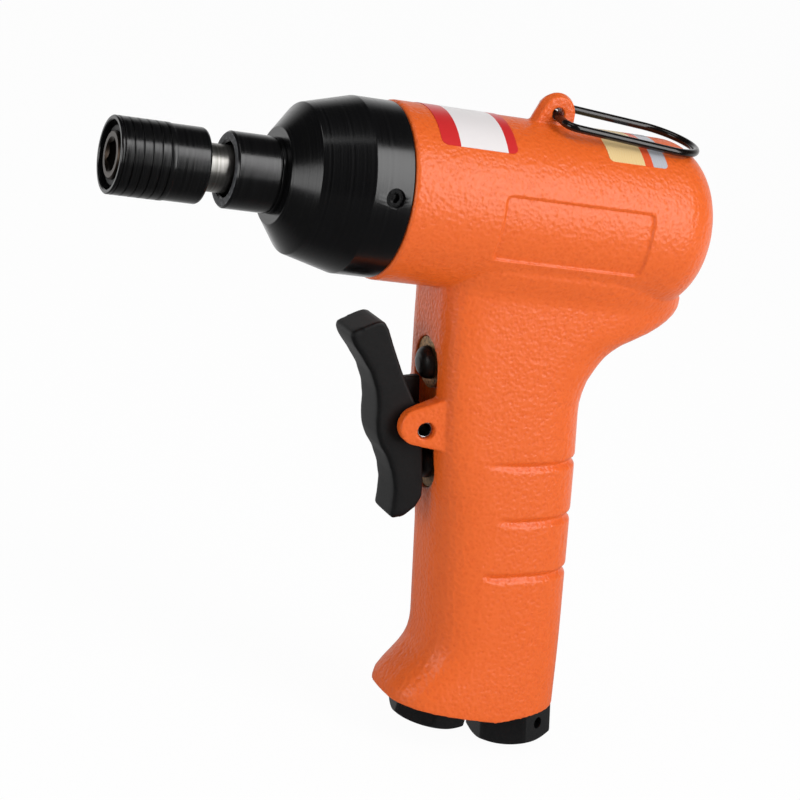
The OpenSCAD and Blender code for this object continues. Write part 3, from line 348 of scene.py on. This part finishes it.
# zinc-plated steel, bright with a faint mottle
zinc, tree, surface, place = shader("zinc_plated_steel", {"Metallic": 1.0, "Roughness": 0.25})
mottle = grain(tree, place, 0.8, 3.0)
tree.links.new(steps(tree, mottle, (0.3, "#b9bcc0"), (0.7, "#d9dbde")), surface.inputs["Base Color"])
relief(tree, surface, mottle, 0.004)

# the shaft seal is moulded nitrile, the bushing is sintered bronze that holds oil in its pores
nitrile, tree, surface, place = shader("moulded_nitrile_rubber", {"Roughness": 0.5})
dust = grain(tree, place, 0.6, 4.0)
tree.links.new(steps(tree, dust, (0.3, "#0d0d0e"), (0.8, "#1d1d1e")), surface.inputs["Base Color"])
relief(tree, surface, dust, 0.01)
dress(nitrile, "collar_seal", "upper_o_ring", "lower_o_ring")

bronze, tree, surface, place = shader("sintered_bronze", {"Metallic": 1.0, "Roughness": 0.4})
pores = grain(tree, place, 0.35, 4.0, 0.7)
tree.links.new(steps(tree, pores, (0.35, "#4a3826"), (0.5, "#a07b52"), (0.8, "#c79c6d")),
               surface.inputs["Base Color"])
relief(tree, surface, pores, 0.02)
dress(bronze, "spindle_bushing", "upper_valve_bushing", "lower_valve_bushing", "exhaust_silencer")

# Two printed films are stuck on top of the barrel: a red and white one in front, and a small
# pale one with a red stripe and a silver patch behind the lug. They carry plain bands of colour.
barrel_r, film_t = 20.9, 0.11
front_span, rear_span = (71.57, 91.0), (115.46, 131.18)


def film(name, span, degrees, corner, material, slot, node):
    """A thin film with round corners, bent round the barrel to that angle on each side of its top."""
    first, last = span
    mesh = bmesh.new()
    reach = math.radians(degrees) * barrel_r
    bmesh.ops.create_grid(mesh, x_segments=1, y_segments=1, size=1)
    bmesh.ops.scale(mesh, vec=((last - first) / 2, reach, 1), verts=mesh.verts)
    bmesh.ops.bevel(mesh, geom=mesh.verts[:], affect="VERTICES", offset=corner, segments=6, profile=0.5,
                    material=-1)
    # 48 strips, so that it bends evenly
    for i in range(1, 48):
        bmesh.ops.bisect_plane(mesh, geom=mesh.verts[:] + mesh.edges[:] + mesh.faces[:],
                               plane_co=(0, reach * (i / 24 - 1), 0), plane_no=(0, 1, 0))
    grown = bmesh.ops.extrude_face_region(mesh, geom=mesh.faces[:])["geom"]
    bmesh.ops.translate(mesh, vec=(0, 0, film_t), verts=[v for v in grown if isinstance(v, bmesh.types.BMVert)])
    for v in mesh.verts:
        turn, out = v.co.y / barrel_r, barrel_r + v.co.z
        v.co = (v.co.x + (first + last) / 2, out * math.sin(turn), out * math.cos(turn))
    bmesh.ops.recalc_face_normals(mesh, faces=mesh.faces)
    return piece(name, put(mesh), "tool_body", material, slot, node)


# printed polyester film under a clear laminate
front_print, tree, surface, place = shader("printed_film_red_white", {"Roughness": 0.28})
station = add(tree, "SeparateXYZ", {"Vector": place}).outputs["X"]
share = add(tree, "MapRange", {"Value": station, "From Min": front_span[0] / 1000,
                               "From Max": front_span[1] / 1000}).outputs[0]
bands = steps(tree, share, (0.0, "#cf2a2c"), (0.24, "#e9e4e4"), (0.86, "#cf2a2c"), (1.0, "#cf2a2c"))
bands.node.color_ramp.interpolation = "CONSTANT"
tree.links.new(bands, surface.inputs["Base Color"])
relief(tree, surface, grain(tree, place, 1.6), 0.012)
film("front_film", front_span, 45, 1.6, front_print, "label_front", "front_label")

# the rear film is of the same stock, with a faint guilloche under its bands
rear_print, tree, surface, place = shader("printed_film_pale", {"Roughness": 0.25})
station = add(tree, "SeparateXYZ", {"Vector": place}).outputs["X"]
share = add(tree, "MapRange", {"Value": station, "From Min": rear_span[0] / 1000,
                               "From Max": rear_span[1] / 1000}).outputs[0]
bands = steps(tree, share, (0.0, "#e9cc94"), (0.6, "#e2582f"), (0.74, "#b9bcc4"), (1.0, "#b9bcc4"))
bands.node.color_ramp.interpolation = "CONSTANT"
waves = add(tree, "TexWave", {"Vector": place, "Scale": 260.0, "Distortion": 5.0, "Detail": 1.0,
                              "Detail Scale": 1.0}).outputs["Fac"]
tint = steps(tree, waves, (0.4, "#ffffff"), (0.5, "#f6c886"), (0.6, "#ffffff"))
waved = add(tree, "MixRGB", {"Fac": 0.6, "Color1": bands, "Color2": tint}, blend_type="MULTIPLY")
tree.links.new(waved.outputs[0], surface.inputs["Base Color"])
relief(tree, surface, grain(tree, place, 1.6), 0.012)
film("rear_film", rear_span, 40, 1.2, rear_print, "label_rear", "rear_label")

# The hanger bail is bent from round spring wire, 1.9 mm thick, and blackened. It passes through
# the lug and swings on it; at rest it leans back along the barrel, a little rolled to one side.
wire_r, bend_r, half_bar, arm = 0.95, 2.6, 7, 25.6
wire = bmesh.new()
bmesh.ops.create_circle(wire, cap_ends=False, segments=20, radius=wire_r)
bmesh.ops.rotate(wire, cent=(0, 0, 0), matrix=Matrix.Rotation(math.radians(90), 3, "X"), verts=wire.verts)
bmesh.ops.translate(wire, vec=(0, -half_bar, 0), verts=wire.verts)


def onward(geometry):
    """The loose end of the wire after a step."""
    return [g for g in geometry if isinstance(g, (bmesh.types.BMVert, bmesh.types.BMEdge))]


def straight(end, vec):
    """Draws the wire on in a straight line."""
    rim = [e for e in end if isinstance(e, bmesh.types.BMEdge)]
    grown = bmesh.ops.extrude_edge_only(wire, edges=rim)["geom"]
    moved = [v for v in grown if isinstance(v, bmesh.types.BMVert)]
    bmesh.ops.translate(wire, vec=vec, verts=moved)
    moved = set(moved)
    return list(moved) + [e for e in wire.edges if e.verts[0] in moved and e.verts[1] in moved]


def bend(end, centre, degrees, turns):
    """Bends the wire on round a centre, towards the rear of the tool."""
    return onward(bmesh.ops.spin(wire, geom=end, cent=centre, axis=(0, 0, -1), angle=math.radians(degrees),
                                 steps=turns)["geom_last"])


end = straight(wire.verts[:] + wire.edges[:], (0, 2 * half_bar, 0))
end = bend(end, (bend_r, half_bar, 0), 90, 10)
end = straight(end, (arm, 0, 0))
end = bend(end, (bend_r + arm, 0, 0), 180, 40)
end = straight(end, (-arm, 0, 0))
end = bend(end, (bend_r, -half_bar, 0), 90, 10)
bmesh.ops.remove_doubles(wire, verts=wire.verts, dist=0.01)
bmesh.ops.recalc_face_normals(wire, faces=wire.faces)
lacquered, tree, surface, place = shader("blackened_spring_wire", {"Roughness": 0.17})
scuffs = grain(tree, place, 1.2, 4.0, 0.6)
tree.links.new(steps(tree, scuffs, (0.35, "#0d0a09"), (0.75, "#1c1715")), surface.inputs["Base Color"])
relief(tree, surface, scuffs, 0.01)
bail_place = Matrix.Translation((105.455, 0, 23.2)) @ Matrix.Rotation(math.radians(-2.2), 4, "Z") @ \
    Matrix.Rotation(math.radians(4.1), 4, "Y") @ Matrix.Rotation(math.radians(6.8), 4, "X")
piece("bail_wire", put(wire, bail_place), "bail", lacquered, "black_steel", "hanger_bail")

# The trigger is a two-way rocker moulded in matte black nylon: a finger face that curves out over
# the pin, side walls, and a hollow back. It rocks on a rolled steel pin between the ears.
handle = Matrix.Translation((97.9, 0, 0)) @ Matrix.Rotation(math.radians(-11), 4, "Y")
pivot = handle @ Matrix.Translation((-23, 0, -50.5))
nylon, tree, surface, place = shader("moulded_black_nylon", {"Roughness": 0.5, "Specular IOR Level": 0.35})
spark = grain(tree, place, 0.4, 4.0, 0.7)
tree.links.new(steps(tree, spark, (0.3, "#0a0a0b"), (0.8, "#141415")), surface.inputs["Base Color"])
relief(tree, surface, spark, 0.02)
lever = bmesh.new()
lever.from_mesh(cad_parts["trigger"].data)
bmesh.ops.remove_doubles(lever, verts=lever.verts, dist=0.000002)
bmesh.ops.recalc_face_normals(lever, faces=lever.faces)
trigger = piece("trigger_lever", lever, "trigger_lever", nylon, "black_plastic", "trigger")
soften_all(trigger, grid=0.00022, rounds=18, kept=0.5)
# the finger side is rounded further than the walls behind it: its face runs through (height, depth)
finger = [(-26, -6.9), (-22.4, -6.8), (-15.8, -5.9), (-11.5, -6.5), (-4.5, -9.6), (1.8, -10.8),
          (9.5, -10.9), (14, -12.4), (21.3, -16.8), (30, -17.4)]
rounded_depth, rounded_passes = 2.6, 26


def behind_finger(spot):
    """How far a point in metres lies behind the finger face, in millimetres."""
    x, y, z = pivot.inverted() @ (spot * 1000)
    for (low, near), (high, far) in zip(finger, finger[1:]):
        if z <= high:
            return x - near - (far - near) * (z - low) / (high - low)
    return math.inf


moulded = bmesh.new()
moulded.from_mesh(trigger.data)
rounded = [v for v in moulded.verts if behind_finger(v.co) < rounded_depth]
for i in range(rounded_passes):
    bmesh.ops.smooth_vert(moulded, verts=rounded, factor=0.5, use_axis_x=True, use_axis_y=True,
                          use_axis_z=True)
moulded.to_mesh(trigger.data)
moulded.free()
# the bore for the pin is drilled after moulding
across = pivot @ Matrix.Rotation(math.radians(90), 4, "Z")
carve(trigger, put(lathe([(-8, 0), (-8, 2.15), (8, 2.15), (8, 0)], soft=0, sides=48), across))

rolled, tree, surface, place = shader("rolled_spring_steel", {"Metallic": 1.0, "Roughness": 0.22})
lines = grain(tree, place, 0.5, 3.0)
tree.links.new(steps(tree, lines, (0.3, "#a9abb0"), (0.7, "#d5d7da")), surface.inputs["Base Color"])
relief(tree, surface, lines, 0.004)
pin_bore = 1.55
tube = lathe([(-9.1, 1.6), (-9.1, 1.9), (-8.8, 2.1), (8.8, 2.1), (9.1, 1.9), (9.1, 1.6), (9.0, pin_bore),
              (-9.0, pin_bore)], soft=0.06, sides=64)
pin = piece("rolled_pin", put(tube, across), "tool_body", rolled, "steel", "trigger_pin")
# the inside of the pin is given the black oxide material as painted shade, since little light reaches into it
pin.data.materials.append(blackened)
for face in pin.data.polygons:
    x, y, z = pivot.inverted() @ (face.center * 1000)
    face.material_index = int(math.hypot(x, z) < pin_bore + 0.04)

# Two valves sit one over the other in the slot of the handle. Each has a round-nosed black
# plunger in a bronze bushing, with a rubber ring and a return spring behind it.
burnished, tree, surface, place = shader("burnished_valve_steel", {"Roughness": 0.4})
rub = grain(tree, place, 0.7, 3.0)
tree.links.new(steps(tree, rub, (0.3, "#100c0a"), (0.75, "#1f1814")), surface.inputs["Base Color"])
relief(tree, surface, rub, 0.01)
# where each valve sits along the handle, and the tip of its plunger in front of the handle's line
valves, tip = (("upper", -36.9), ("lower", -61.9)), -21.48
nosed = [(0, 0), (0.12, 1.5), (0.48, 2.6), (1.04, 3.4), (1.68, 3.84), (2.32, 4.0), (6.4, 4.0), (6.4, 3.2),
         (7.9, 3.2), (7.9, 4.0), (9.2, 4.0), (9.2, 2.0), (13.6, 2.0), (13.6, 4.0), (15.6, 4.0), (15.6, 0)]
for name, z in valves:
    turned = lathe([(x + tip, r) for x, r in nosed], soft=0.1, sides=64)
    plunger = put(turned, handle @ Matrix.Translation((0, 0, z)))
    piece(name + "_valve_plunger", plunger, name + "_valve", burnished, "black_steel", name + "_plunger")
sprung, tree, surface, place = shader("spring_wire_bright", {"Metallic": 1.0, "Roughness": 0.2})
drawn = grain(tree, place, 0.3, 3.0)
tree.links.new(steps(tree, drawn, (0.3, "#9c9ea3"), (0.7, "#c9cbcf")), surface.inputs["Base Color"])
relief(tree, surface, drawn, 0.003)
dress(sprung, "upper_valve_spring", "lower_valve_spring")
for name, z in valves:
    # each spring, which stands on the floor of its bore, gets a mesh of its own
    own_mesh(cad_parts[name + "_valve_spring"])

# The bit chuck: a steel spindle with a hex socket, a ball that locks the bit, and a blackened
# sleeve with turned grip grooves. Pushing the sleeve forward over its spring frees the ball.
mouth, sleeve_r, groove_zone, grooves = -0.3, 8.8, 12.8, 6
turned_in = []
for i in range(grooves):
    at = mouth + groove_zone / grooves * (i + 0.36)
    turned_in += [(at - 0.15, sleeve_r), (at, sleeve_r - 0.3), (at + 0.15, sleeve_r - 0.3),
                  (at + 0.3, sleeve_r)]
sleeve = [(mouth, 8.56), (-0.06, sleeve_r)] + turned_in + [
    (12.5, sleeve_r), (12.62, 8.65), (20.3, 8.65), (20.72, 8.47), (20.9, 8.05), (20.9, 7.55), (17.8, 7.55),
    (17.8, 6.525), (13.8, 6.525), (13.8, 5.55), (8.6, 5.55), (8.6, 7.7), (-0.06, 7.7), (mouth, 7.94)]
piece("chuck_sleeve_ribbed", put(lathe(sleeve, soft=0.03)), "sleeve", blackened, "black_steel", "chuck_sleeve")

# the rotor, the cylinder and the end plates are ground, with fine lines round their axis
ground_steel, tree, surface, place = shader("ground_alloy_steel", {"Metallic": 1.0, "Roughness": 0.3})
rings = turning(tree, place, 0.4)
tree.links.new(steps(tree, rings, (0.3, "#8b8a88"), (0.75, "#b4b3b1")), surface.inputs["Base Color"])
relief(tree, surface, rings, 0.004)
# what sits in the mouth of the sleeve is phosphated, dark and matt
phosphate, tree, surface, place = shader("phosphated_spring_steel", {"Roughness": 0.5})
crystals = grain(tree, place, 0.2, 3.0)
tree.links.new(steps(tree, crystals, (0.3, "#0d0d0e"), (0.8, "#1b1b1c")), surface.inputs["Base Color"])
relief(tree, surface, crystals, 0.006)
dress(phosphate, "snap_ring", "spring_washer", "sleeve_spring", "stop_ring")
dress(ground_steel, "rotor", "front_end_plate", "rear_end_plate", "motor_cylinder")
# the spindle is turned from a darker alloy steel; its colour turns darker and browner towards the front, round
# the mouth of its socket
spindle_steel, tree, surface, place = shader("alloy_steel_darker_at_front", {"Metallic": 1.0, "Roughness": 0.34})
rings = turning(tree, place, 0.4)
station = add(tree, "SeparateXYZ", {"Vector": place}).outputs["X"]
inward = add(tree, "MapRange", {"Value": station, "From Min": 0.0004, "From Max": 0.004}).outputs[0]
front_darkening = steps(tree, inward, (0.0, "#6b5d54"), (1.0, "#ffffff"))
tone = steps(tree, rings, (0.3, "#85837f"), (0.75, "#a9a7a3"))
front_darkened_tone = add(tree, "MixRGB", {"Fac": 1.0, "Color1": tone, "Color2": front_darkening}, blend_type="MULTIPLY")
tree.links.new(front_darkened_tone.outputs[0], surface.inputs["Base Color"])
relief(tree, surface, rings, 0.004)
dress(spindle_steel, "anvil")
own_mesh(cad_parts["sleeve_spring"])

# The impact mechanism and the vane motor fill the barrel, out of sight: a hammer cage with two
# hammers on pins, an eccentric cylinder with a slotted rotor, and a ball bearing at each end.
hardened, tree, surface, place = shader("hardened_tool_steel", {"Metallic": 1.0, "Roughness": 0.36})
scale = grain(tree, place, 1.5, 4.0)
tree.links.new(steps(tree, scale, (0.3, "#57575a"), (0.7, "#7d7d80")), surface.inputs["Base Color"])
relief(tree, surface, scale, 0.01)
dress(hardened, "hammer_cage", "front_hammer", "rear_hammer")

polished, tree, surface, place = shader("polished_bearing_steel", {"Metallic": 1.0, "Roughness": 0.1})
haze = grain(tree, place, 2.0, 2.0)
tree.links.new(steps(tree, haze, (0.3, "#c5c7ca"), (0.7, "#dcdee0")), surface.inputs["Base Color"])
relief(tree, surface, haze, 0.001)
dress(polished, "bit_ball", "hammer_pins", "cylinder_pin", "front_bearing_outer", "front_bearing_balls",
      "front_bearing_inner", "rear_bearing_outer", "rear_bearing_balls", "rear_bearing_inner")

# the vanes are laminated from cotton cloth and brown resin, with a weave of half a millimetre
laminate, tree, surface, place = shader("cloth_laminate", {"Roughness": 0.45})
weave = add(tree, "TexChecker", {"Vector": place, "Scale": 1000 / 0.5, "Color1": colour("#7a4f2a"),
                                 "Color2": colour("#8d6136")})
tree.links.new(weave.outputs["Color"], surface.inputs["Base Color"])
relief(tree, surface, weave.outputs["Fac"], 0.02)
dress(laminate, "rotor_vanes")

fibre, tree, surface, place = shader("pressed_fibre", {"Roughness": 0.7})
felt = grain(tree, place, 0.5, 5.0, 0.7)
tree.links.new(steps(tree, felt, (0.3, "#4b3524"), (0.75, "#6e5038")), surface.inputs["Base Color"])
relief(tree, surface, felt, 0.03)
dress(fibre, "motor_gasket", "inlet_seal", "exhaust_seal")
dress(zinc, "inlet_strainer")

# Two hex plugs are screwed into the foot of the handle on fibre seals: the air inlet with its hose
# thread in front, and the taller exhaust with a side hole behind it. Both are milled, then blackened.
plug_steel, tree, surface, place = shader("black_oxide_milled_steel", {"Roughness": 0.26})
marks = grain(tree, place, 0.5, 3.0)
tree.links.new(steps(tree, marks, (0.3, "#08080a"), (0.75, "#111112")), surface.inputs["Base Color"])
relief(tree, surface, marks, 0.008)
down = Matrix.Rotation(math.radians(90), 4, "Y")


def plug(name, seat, flats, height, turn, thread, bore, node):
    """A hex head with turned lower corners, and its threaded shank with a bore through both."""
    head = bmesh.new()
    bmesh.ops.create_circle(head, cap_ends=True, segments=6, radius=flats / math.sqrt(3))
    bmesh.ops.rotate(head, cent=(0, 0, 0), matrix=Matrix.Rotation(math.radians(turn + 30), 3, "Z"),
                     verts=head.verts)
    grown = bmesh.ops.extrude_face_region(head, geom=head.faces[:])["geom"]
    lower = [v for v in grown if isinstance(v, bmesh.types.BMVert)]
    bmesh.ops.translate(head, vec=(0, 0, -height), verts=lower)
    bmesh.ops.recalc_face_normals(head, faces=head.faces)
    upright = [e for e in head.edges if abs(e.verts[0].co.z - e.verts[1].co.z) > 1]
    bmesh.ops.bevel(head, geom=upright, affect="EDGES", offset=0.12, segments=2, profile=0.5, material=-1)
    made = piece(name, put(head, seat), "tool_body", plug_steel, "black_steel", node)
    # a 30 degree chamfer takes the corners off the lower face
    corner, edge = flats * 0.56, flats * 0.49
    cone = lathe([(-1, 0), (-1, corner), (height - (corner - edge) / 1.7, corner), (height, edge),
                  (height, 0)], soft=0, sides=96)
    carve(made, put(cone, seat @ down), "INTERSECT")
    thread_r, length = thread
    shank = lathe([(-length, 0), (-length, thread_r), (0.5, thread_r), (0.5, 0)], soft=0, sides=96)
    carve(made, put(shank, seat @ down), "UNION")
    carve(made, put(lathe(bore, soft=0, sides=96), seat @ down))
    return made


# the front part of the foot, which carries the inlet, is tilted against the rear part
ridge = Matrix.Translation((118.064, 0, -125.773)) @ Matrix.Rotation(math.radians(4.5), 4, "Y")
plug("inlet_plug", ridge @ Matrix.Translation((-11.6, 0, -0.8)), flats=18, height=4.6, turn=16,
     thread=(8.3, 9.43), bore=[(-10, 0), (-10, 4.58), (-7.4, 4.58), (-7.4, 5.725), (4.1, 5.725), (4.8, 6.4),
                               (6, 6.4), (6, 0)], node="inlet_fitting")
outlet_x, outlet_turn = 6.09, 27
outlet = plug("exhaust_plug", handle @ Matrix.Translation((outlet_x, 0, -128.11)), flats=19, height=8.9,
              turn=outlet_turn, thread=(7.0, 9.76),
              bore=[(-12, 0), (-12, 5.2), (8.5, 5.2), (9.2, 5.8), (11, 5.8), (11, 0)], node="exhaust_fitting")
# the side hole goes in square to one of the flats
side_hole = handle @ Matrix.Translation((outlet_x, 0, -132.382)) @ \
    Matrix.Rotation(math.radians(outlet_turn - 90), 4, "Z")
drill = lathe([(6.02, 0), (6.02, 1.3), (9.2, 1.3), (10.2, 2.0), (11.5, 2.0), (11.5, 0)], soft=0, sides=40)
carve(outlet, put(drill, side_hole))
